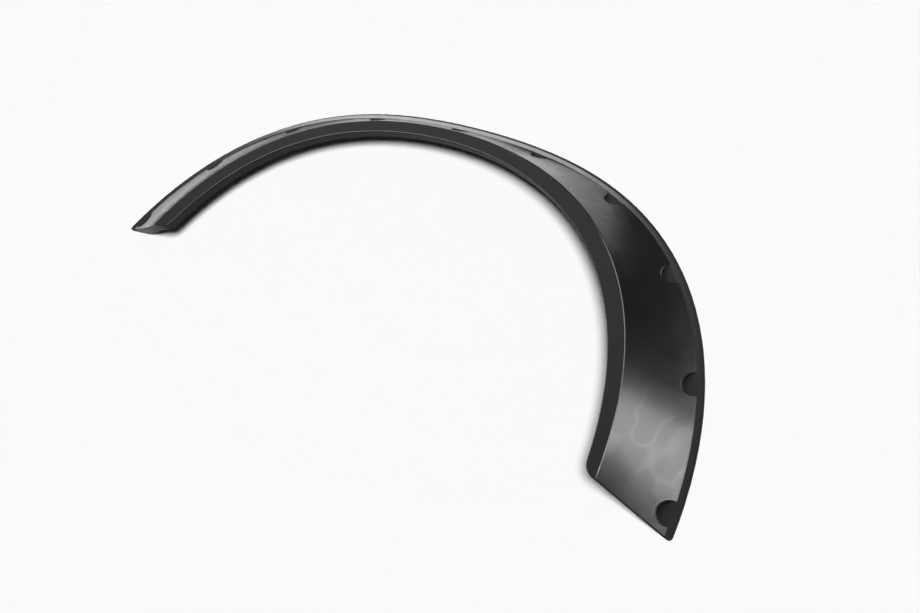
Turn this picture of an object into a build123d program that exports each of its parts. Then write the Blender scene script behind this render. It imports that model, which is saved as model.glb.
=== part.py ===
"""Wheel arch trim: one moulded shell that frames a car's wheel opening.

The shell lies outside up on its flat mounting flange. Angles are measured at the
wheel centre from the top of the arch, positive towards the longer leg (+X).
"""
import os
from math import atan2, cos, degrees, radians, sin

from build123d import *

# Thicknesses and heights, mm
wall = 3.0
height = 33.3
skirt_depth = 9.5
skirt_inset = 7.0
flare_dip = 2.5

# Rim radius from the wheel centre, then widths inward from rim to crease and from crease
# to lip edge, mm. Each is given level with the centre and at 45 degrees on the shorter
# leg, at the top, and at 45 degrees and level with the centre on the longer leg.
rim_radii = (418.6, 411.0, 371.7, 413.0, 420.9)
flare_widths = (69.8, 48.6, 24.6, 51.7, 71.6)
lip_widths = (21.7, 17.9, 14.3, 18.1, 13.7)
flange_width = 6.5

# Ends of the two legs: angle of the tip and slant of the cut, degrees
left_tip = -73.1
right_tip = 83.9
left_slant = 6.7
right_slant = -12.9
run_past = 18.0

# Rounded corners and edges, mm
lip_corner = 17.0
tip_corner = 3.5
crease_round = 2.0
edge_round = 1.2
rim_bevel = 0.8
pocket_bevel = 0.9

# Fastener pockets along the flange: angles in degrees, sizes in mm
pocket_angles = (-70.1, -54.5, -38.5, -21.0, -3.0, 14.5, 30.7, 47.1, 63.9, 80.7)
pocket_width = 22.0
pocket_wall = 2.5
pocket_depth_top = 9.0
pocket_depth_leg = 13.5

# How far the inner skin sits in and down from the outer one
inner_shift = 0.74 * wall

angle_count = 16
angle_step = (right_tip - left_tip + 2 * run_past) / (angle_count - 1)
angles = [left_tip - run_past + angle_step * i for i in range(angle_count)]


def along(values, angle):
    """Value at an angle, passing smoothly through the five given round the arch."""
    left_level, left_shoulder, top, right_shoulder, right_level = values
    shoulder, level = (right_shoulder, right_level) if angle > 0 else (left_shoulder, left_level)
    middle = ((top + level) / 2 + shoulder) / 2
    a = radians(angle)
    return middle + (top - level) / 2 * cos(2 * a) + ((top + level) / 2 - middle) * cos(4 * a)


def at(r, angle):
    """Plan point at a radius and an angle."""
    return Vector(r * sin(radians(angle)), r * cos(radians(angle)))


def rim_radius(angle):
    """Radius of the flange's outer edge."""
    return along(rim_radii, angle)


def foot_radius(angle):
    """Radius of the line where the flare rises from the flange."""
    return rim_radius(angle) - flange_width


def crease_radius(angle):
    """Radius of the crease between flare and lip."""
    return rim_radius(angle) - along(flare_widths, angle)


def middle_radius(angle):
    """Radius half way up the flare."""
    return (foot_radius(angle) + crease_radius(angle)) / 2


def lip_radius(angle):
    """Radius of the lip's inner edge."""
    return crease_radius(angle) - along(lip_widths, angle)


def level_face(radius_at, inset, z):
    """Closed face inside one level line of the flare."""
    with BuildSketch(Plane.XY.offset(z)) as face:
        with BuildLine():
            edge = Spline(*[at(radius_at(a) - inset, a) for a in angles])
            Line(edge @ 1, edge @ 0)
        make_face()
    return face.sketch


def flare(inset, foot_z, middle_z, top_z):
    """Solid under the flare surface, with the crease along its top."""
    with BuildPart() as solid:
        levels = [
            level_face(foot_radius, inset, foot_z),
            level_face(middle_radius, inset, middle_z),
            level_face(crease_radius, inset, top_z),
        ]
        loft(sections=levels)
    return solid.part


def plan(inset):
    """Plan outline of the trim, drawn in by the inset."""
    tips = [(left_tip, left_slant), (right_tip, right_slant)]
    with BuildSketch() as outline:
        with BuildLine():
            rim = Spline(*[at(rim_radius(a) - inset, a) for a in angles])
            lip = Spline(*[at(lip_radius(a) + inset, a) for a in angles])
            Line(rim @ 0, lip @ 0)
            Line(rim @ 1, lip @ 1)
        make_face()
        for tip, slant in tips:
            end = at(rim_radius(tip), tip)
            with Locations(Location((end.X, end.Y), slant)):
                with Locations((0, inset)):
                    Rectangle(300, 300, align=(Align.CENTER, Align.MAX), mode=Mode.SUBTRACT)
        for tip, slant in tips:
            near_lip = at(lip_radius(tip), tip * 0.95)
            fillet(outline.vertices().sort_by_distance(near_lip)[0], lip_corner - inset)
            near_rim = at(rim_radius(tip), tip)
            fillet(outline.vertices().sort_by_distance(near_rim)[0], max(tip_corner - inset, 0.5))
    return outline.sketch


def pockets(grow):
    """Round-ended pocket outlines open to the rim, grown all round."""
    with BuildSketch() as sketch:
        for angle in pocket_angles:
            along = at(rim_radius(angle + 1), angle + 1) - at(rim_radius(angle - 1), angle - 1)
            turn = degrees(atan2(along.Y, along.X))
            leg_share = sin(radians(angle)) ** 2
            depth = pocket_depth_top + (pocket_depth_leg - pocket_depth_top) * leg_share
            length = depth + flange_width - pocket_width / 2
            half = pocket_width / 2 + grow
            point = at(rim_radius(angle), angle)
            with Locations(Location((point.X, point.Y), turn)):
                with Locations((0, -length)):
                    Circle(half)
                    Rectangle(2 * half, length + half, align=(Align.CENTER, Align.MIN))
    return sketch.sketch


middle_z = (wall + height) / 2 - flare_dip
outer_flare = flare(0, wall, middle_z, height)
inner_flare = flare(inner_shift, wall - inner_shift, middle_z - inner_shift, height - wall)

with BuildPart() as form:
    extrude(level_face(rim_radius, 0, 0), wall)
    flange_edges = form.faces().sort_by(Axis.Z)[-1].edges()
    chamfer(flange_edges.sort_by(SortBy.LENGTH)[-1], rim_bevel)
    add(outer_flare)
    extrude(plan(0), height, mode=Mode.INTERSECT)
    lip_edges = form.faces().sort_by(Axis.Z)[-1].edges()
    fillet(lip_edges.sort_by(SortBy.LENGTH)[-1], crease_round)
    sides = form.faces().filter_by(lambda face: abs(face.normal_at().Z) < 0.1)
    level_edges = sides.edges().filter_by(lambda edge: abs(edge.tangent_at(0.5).Z) < 0.9)
    fillet(level_edges.filter_by(lambda edge: edge.center().Z > wall + 1), edge_round)

with BuildPart() as hollow:
    add(inner_flare)
    extrude(level_face(foot_radius, inner_shift, wall - inner_shift), -wall)
    with BuildSketch(Plane.XY.offset(-wall)):
        add(plan(wall))
    extrude(amount=height + wall, mode=Mode.INTERSECT)

with BuildPart() as bosses:
    extrude(pockets(pocket_wall), height)
    extrude(level_face(foot_radius, -flange_width / 2, 0), height, mode=Mode.INTERSECT)
    add(form.part, mode=Mode.INTERSECT)

with BuildPart() as trim:
    add(form.part)
    add(hollow.part, mode=Mode.SUBTRACT)
    add(Pos(0, 0, -skirt_depth) * flare(skirt_inset, wall, middle_z, height), mode=Mode.SUBTRACT)
    add(bosses.part)
    with BuildSketch(Plane.XY.offset(wall)):
        add(pockets(0))
    extrude(amount=height, mode=Mode.SUBTRACT)
    round_walls = trim.faces().filter_by(GeomType.CYLINDER)
    pocket_ends = round_walls.filter_by(lambda face: abs(face.radius - pocket_width / 2) < 0.001)
    chamfer(pocket_ends.edges().filter_by(GeomType.BSPLINE), pocket_bevel)

box = trim.part.bounding_box()
shell = Pos(-box.center().X, -box.center().Y, -box.min.Z) * trim.part
shell.label = "wheel_arch_trim"

os.makedirs("parts", exist_ok=True)
export_step(shell, "parts/wheel_arch_trim.step")
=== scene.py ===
"""Black moulded finish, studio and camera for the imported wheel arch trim."""
from math import cos, radians, sin

import bpy
from bpy.props import FloatProperty, FloatVectorProperty, PointerProperty
from mathutils import Matrix, Vector

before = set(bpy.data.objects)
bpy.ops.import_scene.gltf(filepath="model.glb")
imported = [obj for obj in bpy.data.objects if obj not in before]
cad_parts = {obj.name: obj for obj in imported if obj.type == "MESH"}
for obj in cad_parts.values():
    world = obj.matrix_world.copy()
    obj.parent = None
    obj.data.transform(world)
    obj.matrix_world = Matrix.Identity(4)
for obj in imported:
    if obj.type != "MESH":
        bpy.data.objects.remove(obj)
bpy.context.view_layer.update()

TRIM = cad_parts["wheel_arch_trim"]

# Shader inputs that are the same all over the trim, and all over the floor
PLASTIC = {"IOR": 1.5, "Specular IOR Level": 0.32, "Coat IOR": 1.5, "Coat Roughness": 0.16}
MATT_FLOOR = {"Roughness": 1.0, "Specular IOR Level": 0.0}

# Noise behind the fine cells of the grain, the broad mottle and the faint smears
GRAIN_CELLS = {"Detail": 2.0, "Roughness": 0.6}
GRAIN_BUMP = {"Strength": 0.3, "Distance": 0.0002}
MOTTLE = {"Scale": 14.0, "Detail": 4.0, "Distortion": 0.8}
MOTTLE_RANGE = (0.3, 0.7)
SMEARS = {"Scale": 11.0, "Detail": 1.0, "Distortion": 1.6}
SMEAR_LEVEL = 0.5
SMEAR_FADE = (0.05, 0.0)

# What the mottle does to the colour and to the flare's roughness, and the gloss between smears
COLOUR_SHARES = (0.85, 1.25)
ROUGHNESS_STEPS = (-0.03, 0.05)
PLAIN_GLOSS = 0.8

# Where each share of the satin fades in: the value at which it is off, then on.
# Heights are in metres from the flange's upper face. A lean is 1 on a face turned away from
# the wheel centre and -1 on one turned to it, and a rise is 1 on a face turned up.
FLARE_HEIGHT = (0.0001, 0.0004)
FLARE_LEAN = (0.06, 0.16)
UPRIGHT_RISE = (0.3, 0.1)
FLANGE_FROM = (-0.0001, -0.00003)
FLANGE_TO = (0.0004, 0.0001)
BAND_START = (-0.0003, 0.0003)
BAND_END = (0.0002, -0.0002)
OUTSIDE_RISE = (-0.2, -0.05)
OUTSIDE_LEAN = (-0.5, -0.3)
LIP_EDGE_LEAN = (-0.08, -0.16)
LIP_EDGE_RISE = (0.4, 0.6)

# Studio in metres. Each soft box has its place, the point that it faces, the direction of its
# long side, and its two sides.
FLOOR_SIZE = 30.0
TOP_LIGHT_TRAVEL = (-0.62, 0.12, -1.0)
TOP_LIGHT_SPREAD = radians(22.0)
SOFT_BOXES = {
    "key_box": ((0.905, 0.595, 1.364), (0.37, -0.08, 0.02), (0.761, 0.409, -0.504), (1.3, 0.36)),
    "fill_box": ((-0.95, 0.35, 1.1), (0.0, 0.0, 0.03), (1.13, 0.0, 0.35), (1.8, 1.0)),
    "rim_box": ((-1.3, 0.98, 1.2), (-0.1, 0.15, 0.0), (-0.79, -0.11, 0.0), (0.84, 0.9)),
    "edge_box": ((-0.75, -0.1, 1.13), (-0.1, 0.1, 0.03), (0.0, 1.0, 0.0), (0.6, 0.4)),
    "crease_strip": ((0.165, 0.71, 1.07), (0.28, 0.0, 0.03), (-0.45, 0.52, -0.28), (0.75, 0.4)),
}

# Camera: width of the picture in pixels, width of the sensor in millimetres, furthest view
PICTURE_WIDTH = 920
SENSOR_WIDTH = 36.0
VIEW_END = 50.0

bl_info = {
    "name": "Wheel arch trim",
    "version": (1, 0, 0),
    "blender": (4, 5, 0),
    "location": "View3D > Sidebar > Arch trim",
    "description": "Finishes the moulded wheel arch trim and sets its studio",
    "category": "Object",
}


class TrimFinish(bpy.types.PropertyGroup):
    """Colour and surface of the moulded plastic."""

    colour: FloatVectorProperty(
        name="Plastic colour", description="Colour of the moulded plastic", subtype="COLOR",
        size=3, min=0.0, max=1.0, default=(0.006, 0.006, 0.0063))
    flare_roughness: FloatProperty(
        name="Flare roughness", description="Roughness of the satin flare",
        subtype="FACTOR", min=0.0, max=1.0, default=0.24)
    lip_roughness: FloatProperty(
        name="Lip roughness", description="Roughness of the grained lip and skirt",
        subtype="FACTOR", min=0.0, max=1.0, default=0.68)
    flare_gloss: FloatProperty(
        name="Flare gloss", description="Weight of the glossy skin on the satin faces",
        subtype="FACTOR", min=0.0, max=1.0, default=1.0)
    grain_size: FloatProperty(
        name="Grain size", description="Width of one cell of the moulded grain",
        unit="LENGTH", subtype="DISTANCE", min=0.0002, max=0.01, default=0.0011)
    flange_top: FloatProperty(
        name="Flange top", description="Height of the flange's upper face",
        unit="LENGTH", subtype="DISTANCE", default=0.003)
    wheel_centre: FloatVectorProperty(
        name="Wheel centre", description="Centre of the wheel opening, below the arch",
        unit="LENGTH", subtype="TRANSLATION", size=3, default=(-0.0091, -0.2087, 0.0))
    rim_radii: FloatVectorProperty(
        name="Rim radii",
        description="Rim radius at the top, at 45 degrees and level with the centre",
        unit="LENGTH", size=3, default=(0.3717, 0.412, 0.4198))
    flange_band: FloatVectorProperty(
        name="Flange band",
        description="Distances from the rim at which the flange's satin band starts and ends",
        unit="LENGTH", size=2, default=(0.0024, 0.0066))


class StudioLook(bpy.types.PropertyGroup):
    """Floor, light and camera."""

    floor_colour: FloatVectorProperty(
        name="Floor colour", description="Colour of the pale floor", subtype="COLOR",
        size=3, min=0.0, max=1.0, default=(0.93, 0.93, 0.93))
    ceiling_grey: FloatProperty(
        name="Ceiling light", description="Even light from the room above the pale horizon",
        min=0.0, max=1.0, default=0.06)
    horizon_rise: FloatProperty(
        name="Horizon rise",
        description="Height up the room, as a share, at which its pale part ends",
        subtype="FACTOR", min=0.01, max=1.0, default=0.25)
    room_light: FloatProperty(
        name="Room light", description="Share of the room's light that falls on matt surfaces",
        subtype="FACTOR", min=0.0, max=1.0, default=0.3)
    top_strength: FloatProperty(
        name="Top light", description="Strength of the soft light from above",
        min=0.0, default=3.75)
    key_power: FloatProperty(
        name="Key power", description="Power of the long soft box above the longer leg",
        unit="POWER", min=0.0, default=9.8)
    fill_power: FloatProperty(
        name="Fill power", description="Power of the wide soft box above the shorter leg",
        unit="POWER", min=0.0, default=1.3)
    rim_power: FloatProperty(
        name="Rim power", description="Power of the soft box beyond the top of the arch",
        unit="POWER", min=0.0, default=14.0)
    edge_power: FloatProperty(
        name="Edge power", description="Power of the small soft box that shows in the lip's edge",
        unit="POWER", min=0.0, default=3.4)
    crease_power: FloatProperty(
        name="Crease power",
        description="Power of the soft box that shows along the longer leg's crease",
        unit="POWER", min=0.0, default=4.2)
    azimuth: FloatProperty(
        name="Camera azimuth", description="Direction of the camera round the arch",
        subtype="ANGLE", default=radians(68.63))
    elevation: FloatProperty(
        name="Camera elevation", description="Height of the camera as an angle",
        subtype="ANGLE", default=radians(50.13))
    roll: FloatProperty(
        name="Camera roll", description="Turn of the camera about its own line of sight",
        subtype="ANGLE", default=radians(-42.84))
    distance: FloatProperty(
        name="Camera distance", description="Distance of the camera from its aim",
        unit="LENGTH", subtype="DISTANCE", default=1.3076)
    aim: FloatVectorProperty(
        name="Camera aim", description="Point on the floor that the camera aims at",
        unit="LENGTH", subtype="TRANSLATION", size=3, default=(0.0899, -0.0331, 0.0))
    focal_px: FloatProperty(
        name="Focal length in pixels", description="Focal length in pixels of the picture",
        min=100.0, default=1300.0)


def add_node(tree, kind, place, **values):
    """Adds a node at a place in the editor and sets its plain values."""
    node = tree.nodes.new(kind)
    node.location = place
    for name, value in values.items():
        setattr(node, name, value)
    return node


def set_inputs(node, values):
    """Sets a node's inputs by name."""
    for name, value in values.items():
        node.inputs[name].default_value = value


def add_noise(tree, place, position, values):
    """Adds a noise texture at a position in space."""
    noise = add_node(tree, "ShaderNodeTexNoise", place)
    set_inputs(noise, values)
    tree.links.new(position, noise.inputs["Vector"])
    return noise


def fade_in(tree, source, limits, place):
    """Smooth step from 0 at the first limit to 1 at the second."""
    step = add_node(tree, "ShaderNodeMapRange", place, interpolation_type="SMOOTHSTEP")
    set_inputs(step, {"From Min": limits[0], "From Max": limits[1]})
    tree.links.new(source, step.inputs["Value"])
    return step.outputs["Result"]


def combine(tree, operation, first, second, place):
    """Result of one step of arithmetic on two values, each a socket or a number."""
    node = add_node(tree, "ShaderNodeMath", place, operation=operation)
    for socket, value in zip(node.inputs, (first, second)):
        if isinstance(value, float):
            socket.default_value = value
        else:
            tree.links.new(value, socket)
    return node.outputs["Value"]


def build_grain_group():
    """Node group for the moulded surface: grain height, broad mottle and faint smears."""
    group = bpy.data.node_groups.new("moulded_grain", "ShaderNodeTree")
    sockets = (("Position", "INPUT", "NodeSocketVector"),
               ("Cells per metre", "INPUT", "NodeSocketFloat"),
               ("Height", "OUTPUT", "NodeSocketFloat"),
               ("Mottle", "OUTPUT", "NodeSocketFloat"),
               ("Smears", "OUTPUT", "NodeSocketFloat"))
    for name, way, kind in sockets:
        group.interface.new_socket(name, in_out=way, socket_type=kind)
    inlet = add_node(group, "NodeGroupInput", (-600, 0))
    outlet = add_node(group, "NodeGroupOutput", (300, 0))
    position = inlet.outputs["Position"]
    links = group.links

    cells = add_noise(group, (-300, 120), position, GRAIN_CELLS)
    links.new(inlet.outputs["Cells per metre"], cells.inputs["Scale"])
    links.new(cells.outputs["Fac"], outlet.inputs["Height"])

    mottle = add_noise(group, (-300, -160), position, MOTTLE)
    links.new(mottle.outputs["Fac"], outlet.inputs["Mottle"])

    marks = add_noise(group, (-300, -440), position, SMEARS)
    centred = combine(group, "SUBTRACT", marks.outputs["Fac"], SMEAR_LEVEL, (-100, -440))
    spread = add_node(group, "ShaderNodeMath", (0, -440), operation="ABSOLUTE")
    links.new(centred, spread.inputs[0])
    ridge = fade_in(group, spread.outputs["Value"], SMEAR_FADE, (120, -440))
    links.new(ridge, outlet.inputs["Smears"])
    return group


def rim_distance(tree, from_centre, radial, finish):
    """Distance inward from the rim, whose radius swells smoothly from the top to the legs.

    The radius is a constant and two waves, in twice and four times the angle from the top.
    """
    top, shoulder, level = finish.rim_radii
    ends = (top + level) / 2
    middle = (ends + shoulder) / 2
    parts = add_node(tree, "ShaderNodeSeparateXYZ", (-1900, -1400))
    tree.links.new(radial, parts.inputs["Vector"])
    square = combine(tree, "MULTIPLY", parts.outputs["X"], parts.outputs["X"], (-1750, -1400))
    twice = combine(tree, "MULTIPLY", square, -2.0, (-1600, -1400))
    double = combine(tree, "ADD", twice, 1.0, (-1450, -1400))
    double_square = combine(tree, "MULTIPLY", double, double, (-1300, -1500))
    fourfold = combine(tree, "MULTIPLY", double_square, 2.0, (-1150, -1500))
    legs = combine(tree, "MULTIPLY", double, (top - level) / 2, (-1000, -1400))
    shoulders = combine(tree, "MULTIPLY", fourfold, ends - middle, (-1000, -1550))
    both = combine(tree, "ADD", legs, shoulders, (-850, -1400))
    rim = combine(tree, "ADD", both, 2 * middle - ends, (-700, -1400))
    length = add_node(tree, "ShaderNodeVectorMath", (-850, -1600), operation="LENGTH")
    tree.links.new(from_centre, length.inputs[0])
    return combine(tree, "SUBTRACT", rim, length.outputs["Value"], (-550, -1400))


def satin_mask(tree, place, finish):
    """Mask of the satin faces: flare, inner flange, ends and the burnished edge of the lip."""
    links = tree.links
    spot = add_node(tree, "ShaderNodeSeparateXYZ", (-1700, -300))
    links.new(place.outputs["Object"], spot.inputs["Vector"])
    height = spot.outputs["Z"]
    facing = add_node(tree, "ShaderNodeSeparateXYZ", (-1700, -700))
    links.new(place.outputs["Normal"], facing.inputs["Vector"])
    rise = facing.outputs["Z"]
    from_centre = add_node(tree, "ShaderNodeVectorMath", (-2100, -950), operation="SUBTRACT")
    from_centre.inputs[1].default_value = finish.wheel_centre
    links.new(place.outputs["Object"], from_centre.inputs[0])
    level = add_node(tree, "ShaderNodeVectorMath", (-1900, -950), operation="MULTIPLY")
    level.inputs[1].default_value = (1.0, 1.0, 0.0)
    links.new(from_centre.outputs["Vector"], level.inputs[0])
    radial = add_node(tree, "ShaderNodeVectorMath", (-1700, -950), operation="NORMALIZE")
    links.new(level.outputs["Vector"], radial.inputs[0])
    outward = add_node(tree, "ShaderNodeVectorMath", (-1600, -1100), operation="DOT_PRODUCT")
    links.new(place.outputs["Normal"], outward.inputs[0])
    links.new(radial.outputs["Vector"], outward.inputs[1])
    lean = outward.outputs["Value"]
    distance = rim_distance(tree, level.outputs["Vector"], radial.outputs["Vector"], finish)

    def from_flange(limits):
        """Limits of a height, counted from the flange's upper face."""
        return [finish.flange_top + limit for limit in limits]

    # Flare and ends
    above = fade_in(tree, height, from_flange(FLARE_HEIGHT), (-1500, -200))
    sloped = fade_in(tree, lean, FLARE_LEAN, (-1400, -950))
    upright = fade_in(tree, rise, UPRIGHT_RISE, (-1500, -700))
    either = combine(tree, "MAXIMUM", sloped, upright, (-1200, -800))
    shell = combine(tree, "MULTIPLY", above, either, (-1050, -700))

    # Inner band of the flange
    on_top = fade_in(tree, height, from_flange(FLANGE_FROM), (-1500, 50))
    under_foot = fade_in(tree, height, from_flange(FLANGE_TO), (-1500, 300))
    start, end = finish.flange_band
    past_rim = fade_in(tree, distance, [start + step for step in BAND_START], (-1300, 250))
    before_foot = fade_in(tree, distance, [end + step for step in BAND_END], (-1300, 50))
    strip = combine(tree, "MULTIPLY", past_rim, before_foot, (-1100, 150))
    flat = combine(tree, "MULTIPLY", on_top, under_foot, (-1100, 300))
    flange = combine(tree, "MULTIPLY", strip, flat, (-950, 150))

    # Only outside faces, not the skirt or the hollow below
    outer = combine(tree, "MAXIMUM", shell, flange, (-900, -300))
    turned_up = fade_in(tree, rise, OUTSIDE_RISE, (-1500, -850))
    turned_out = fade_in(tree, lean, OUTSIDE_LEAN, (-1400, -1150))
    open_faces = combine(tree, "MULTIPLY", turned_up, turned_out, (-1050, -950))
    outside = combine(tree, "MULTIPLY", outer, open_faces, (-750, -500))

    # Rounded edge of the lip
    turned_in = fade_in(tree, lean, LIP_EDGE_LEAN, (-1400, -1250))
    rounded = fade_in(tree, rise, LIP_EDGE_RISE, (-1400, -1350))
    edge = combine(tree, "MULTIPLY", turned_in, rounded, (-900, -1100))
    return combine(tree, "MAXIMUM", outside, edge, (-600, -600))


def build_plastic(finish):
    """Black moulded plastic, satin on the flare, grained and matt on the lip and skirt."""
    material = bpy.data.materials.new("black_moulded_plastic")
    material.use_nodes = True
    tree = material.node_tree
    links = tree.links
    shader = tree.nodes["Principled BSDF"]
    set_inputs(shader, PLASTIC)
    place = add_node(tree, "ShaderNodeTexCoord", (-1500, 0))
    grain = add_node(tree, "ShaderNodeGroup", (-1200, 200), node_tree=build_grain_group())
    grain.inputs["Cells per metre"].default_value = 1.0 / finish.grain_size
    links.new(place.outputs["Object"], grain.inputs["Position"])
    satin = satin_mask(tree, place, finish)

    shade = add_node(tree, "ShaderNodeMix", (-400, 300), data_type="RGBA")
    dark, light = [[min(1.0, share * part) for part in finish.colour] for share in COLOUR_SHARES]
    set_inputs(shade, {"A": (*dark, 1.0), "B": (*light, 1.0)})
    links.new(grain.outputs["Mottle"], shade.inputs["Factor"])
    links.new(shade.outputs["Result"], shader.inputs["Base Color"])

    flare_rough = add_node(tree, "ShaderNodeMapRange", (-600, 0))
    set_inputs(flare_rough, {
        "From Min": MOTTLE_RANGE[0], "From Max": MOTTLE_RANGE[1],
        "To Min": finish.flare_roughness + ROUGHNESS_STEPS[0],
        "To Max": finish.flare_roughness + ROUGHNESS_STEPS[1]})
    links.new(grain.outputs["Mottle"], flare_rough.inputs["Value"])
    rough = add_node(tree, "ShaderNodeMix", (-400, 0), data_type="FLOAT")
    rough.inputs["A"].default_value = finish.lip_roughness
    links.new(satin, rough.inputs["Factor"])
    links.new(flare_rough.outputs["Result"], rough.inputs["B"])
    links.new(rough.outputs["Result"], shader.inputs["Roughness"])

    skin = add_node(tree, "ShaderNodeMapRange", (-800, -250))
    set_inputs(skin, {"To Min": finish.flare_gloss * PLAIN_GLOSS, "To Max": finish.flare_gloss})
    links.new(grain.outputs["Smears"], skin.inputs["Value"])
    gloss = combine(tree, "MULTIPLY", satin, skin.outputs["Result"], (-600, -250))
    links.new(gloss, shader.inputs["Coat Weight"])

    bump = add_node(tree, "ShaderNodeBump", (-300, -400))
    set_inputs(bump, GRAIN_BUMP)
    links.new(grain.outputs["Height"], bump.inputs["Height"])
    links.new(bump.outputs["Normal"], shader.inputs["Normal"])
    return material


def build_floor_material(look):
    """Pale matt floor that takes the trim's shadow."""
    material = bpy.data.materials.new("pale_floor")
    material.use_nodes = True
    shader = material.node_tree.nodes["Principled BSDF"]
    shader.inputs["Base Color"].default_value = (*look.floor_colour, 1.0)
    set_inputs(shader, MATT_FLOOR)
    return material


def build_room(look):
    """World with a pale horizon under a dim ceiling, seen in full and dimmer as light."""
    world = bpy.data.worlds.new("studio_room")
    world.use_nodes = True
    tree = world.node_tree
    links = tree.links
    background = tree.nodes["Background"]
    way = add_node(tree, "ShaderNodeTexCoord", (-900, 0))
    parts = add_node(tree, "ShaderNodeSeparateXYZ", (-700, 0))
    fade = add_node(tree, "ShaderNodeMapRange", (-500, 0), interpolation_type="SMOOTHSTEP")
    set_inputs(fade, {"From Max": look.horizon_rise, "To Min": 1.0, "To Max": look.ceiling_grey})
    links.new(way.outputs["Generated"], parts.inputs["Vector"])
    links.new(parts.outputs["Z"], fade.inputs["Value"])
    links.new(fade.outputs["Result"], background.inputs["Color"])

    rays = add_node(tree, "ShaderNodeLightPath", (-900, -300))
    seen = combine(tree, "MAXIMUM", rays.outputs["Is Camera Ray"],
                   rays.outputs["Is Glossy Ray"], (-700, -250))
    shown = combine(tree, "MAXIMUM", seen, rays.outputs["Is Transmission Ray"], (-500, -300))
    level = add_node(tree, "ShaderNodeMapRange", (-300, -300))
    level.inputs["To Min"].default_value = look.room_light
    links.new(shown, level.inputs["Value"])
    links.new(level.outputs["Result"], background.inputs["Strength"])
    bpy.context.scene.world = world


def add_top_light(strength):
    """Adds the soft light from above that lights the floor and casts the shadow."""
    lamp = bpy.data.lights.new("top_light", "SUN")
    lamp.energy = strength
    lamp.angle = TOP_LIGHT_SPREAD
    light = bpy.data.objects.new("top_light", lamp)
    bpy.context.scene.collection.objects.link(light)
    light.rotation_euler = Vector(TOP_LIGHT_TRAVEL).to_track_quat("-Z", "Y").to_euler()
    light.visible_glossy = False


def add_soft_box(name, power, place, aim, long_side, sides):
    """Adds one soft box that faces a point and shows only in the gloss."""
    lamp = bpy.data.lights.new(name, "AREA")
    lamp.shape = "RECTANGLE"
    lamp.size, lamp.size_y = sides
    lamp.energy = power
    box = bpy.data.objects.new(name, lamp)
    bpy.context.scene.collection.objects.link(box)
    back = (Vector(place) - Vector(aim)).normalized()
    across = Vector(long_side)
    across = (across - back * across.dot(back)).normalized()
    turn = Matrix((across, back.cross(across), back)).transposed().to_4x4()
    box.matrix_world = Matrix.Translation(place) @ turn
    box.visible_camera = False
    box.visible_diffuse = False


def add_camera(look):
    """Adds the camera at the picture's angle, with its roll."""
    data = bpy.data.cameras.new("photo_camera")
    data.sensor_width = SENSOR_WIDTH
    data.lens = look.focal_px * data.sensor_width / PICTURE_WIDTH
    data.clip_end = VIEW_END
    camera = bpy.data.objects.new("photo_camera", data)
    bpy.context.scene.collection.objects.link(camera)
    back = Vector((sin(look.azimuth) * cos(look.elevation),
                   -cos(look.azimuth) * cos(look.elevation), sin(look.elevation)))
    level = Vector((cos(look.azimuth), sin(look.azimuth), 0.0))
    rise = back.cross(level)
    across = cos(look.roll) * level + sin(look.roll) * rise
    up = cos(look.roll) * rise - sin(look.roll) * level
    turn = Matrix((across, up, back)).transposed().to_4x4()
    camera.matrix_world = Matrix.Translation(Vector(look.aim) + look.distance * back) @ turn
    bpy.context.scene.camera = camera


class ARCH_OT_finish_trim(bpy.types.Operator):
    """Give the moulded trim its black plastic"""

    bl_idname = "arch.finish_trim"
    bl_label = "Finish trim"

    def execute(self, context):
        plastic = build_plastic(context.scene.arch_finish)
        TRIM.data.materials.clear()
        TRIM.data.materials.append(plastic)
        return {"FINISHED"}


class ARCH_OT_set_stage(bpy.types.Operator):
    """Lay the floor and set the light and the camera"""

    bl_idname = "arch.set_stage"
    bl_label = "Set stage"

    def execute(self, context):
        look = context.scene.arch_studio
        bpy.ops.mesh.primitive_plane_add(size=FLOOR_SIZE, location=(0.0, 0.0, 0.0))
        floor = context.active_object
        floor.name = "floor"
        floor.data.materials.append(build_floor_material(look))
        build_room(look)
        add_top_light(look.top_strength)
        powers = {"key_box": look.key_power, "fill_box": look.fill_power,
                  "rim_box": look.rim_power, "edge_box": look.edge_power,
                  "crease_strip": look.crease_power}
        for name, power in powers.items():
            add_soft_box(name, power, *SOFT_BOXES[name])
        add_camera(look)
        context.scene.view_settings.view_transform = "Standard"
        return {"FINISHED"}


class ARCH_PT_trim(bpy.types.Panel):
    """Lists the trim's finish and its stage"""

    bl_label = "Wheel arch trim"
    bl_idname = "ARCH_PT_trim"
    bl_space_type = "VIEW_3D"
    bl_region_type = "UI"
    bl_category = "Arch trim"

    def draw(self, context):
        for group, operator in ((context.scene.arch_finish, "arch.finish_trim"),
                                (context.scene.arch_studio, "arch.set_stage")):
            for name in group.__annotations__:
                self.layout.prop(group, name)
            self.layout.operator(operator)


CLASSES = (TrimFinish, StudioLook, ARCH_OT_finish_trim, ARCH_OT_set_stage, ARCH_PT_trim)


def register():
    """Adds the classes and their settings to Blender."""
    for item in CLASSES:
        bpy.utils.register_class(item)
    bpy.types.Scene.arch_finish = PointerProperty(type=TrimFinish)
    bpy.types.Scene.arch_studio = PointerProperty(type=StudioLook)


def unregister():
    """Takes the classes and their settings out again."""
    del bpy.types.Scene.arch_studio
    del bpy.types.Scene.arch_finish
    for item in reversed(CLASSES):
        bpy.utils.unregister_class(item)


def main():
    """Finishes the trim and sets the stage."""
    register()
    bpy.ops.arch.finish_trim()
    bpy.ops.arch.set_stage()


if __name__ == "__main__":
    main()
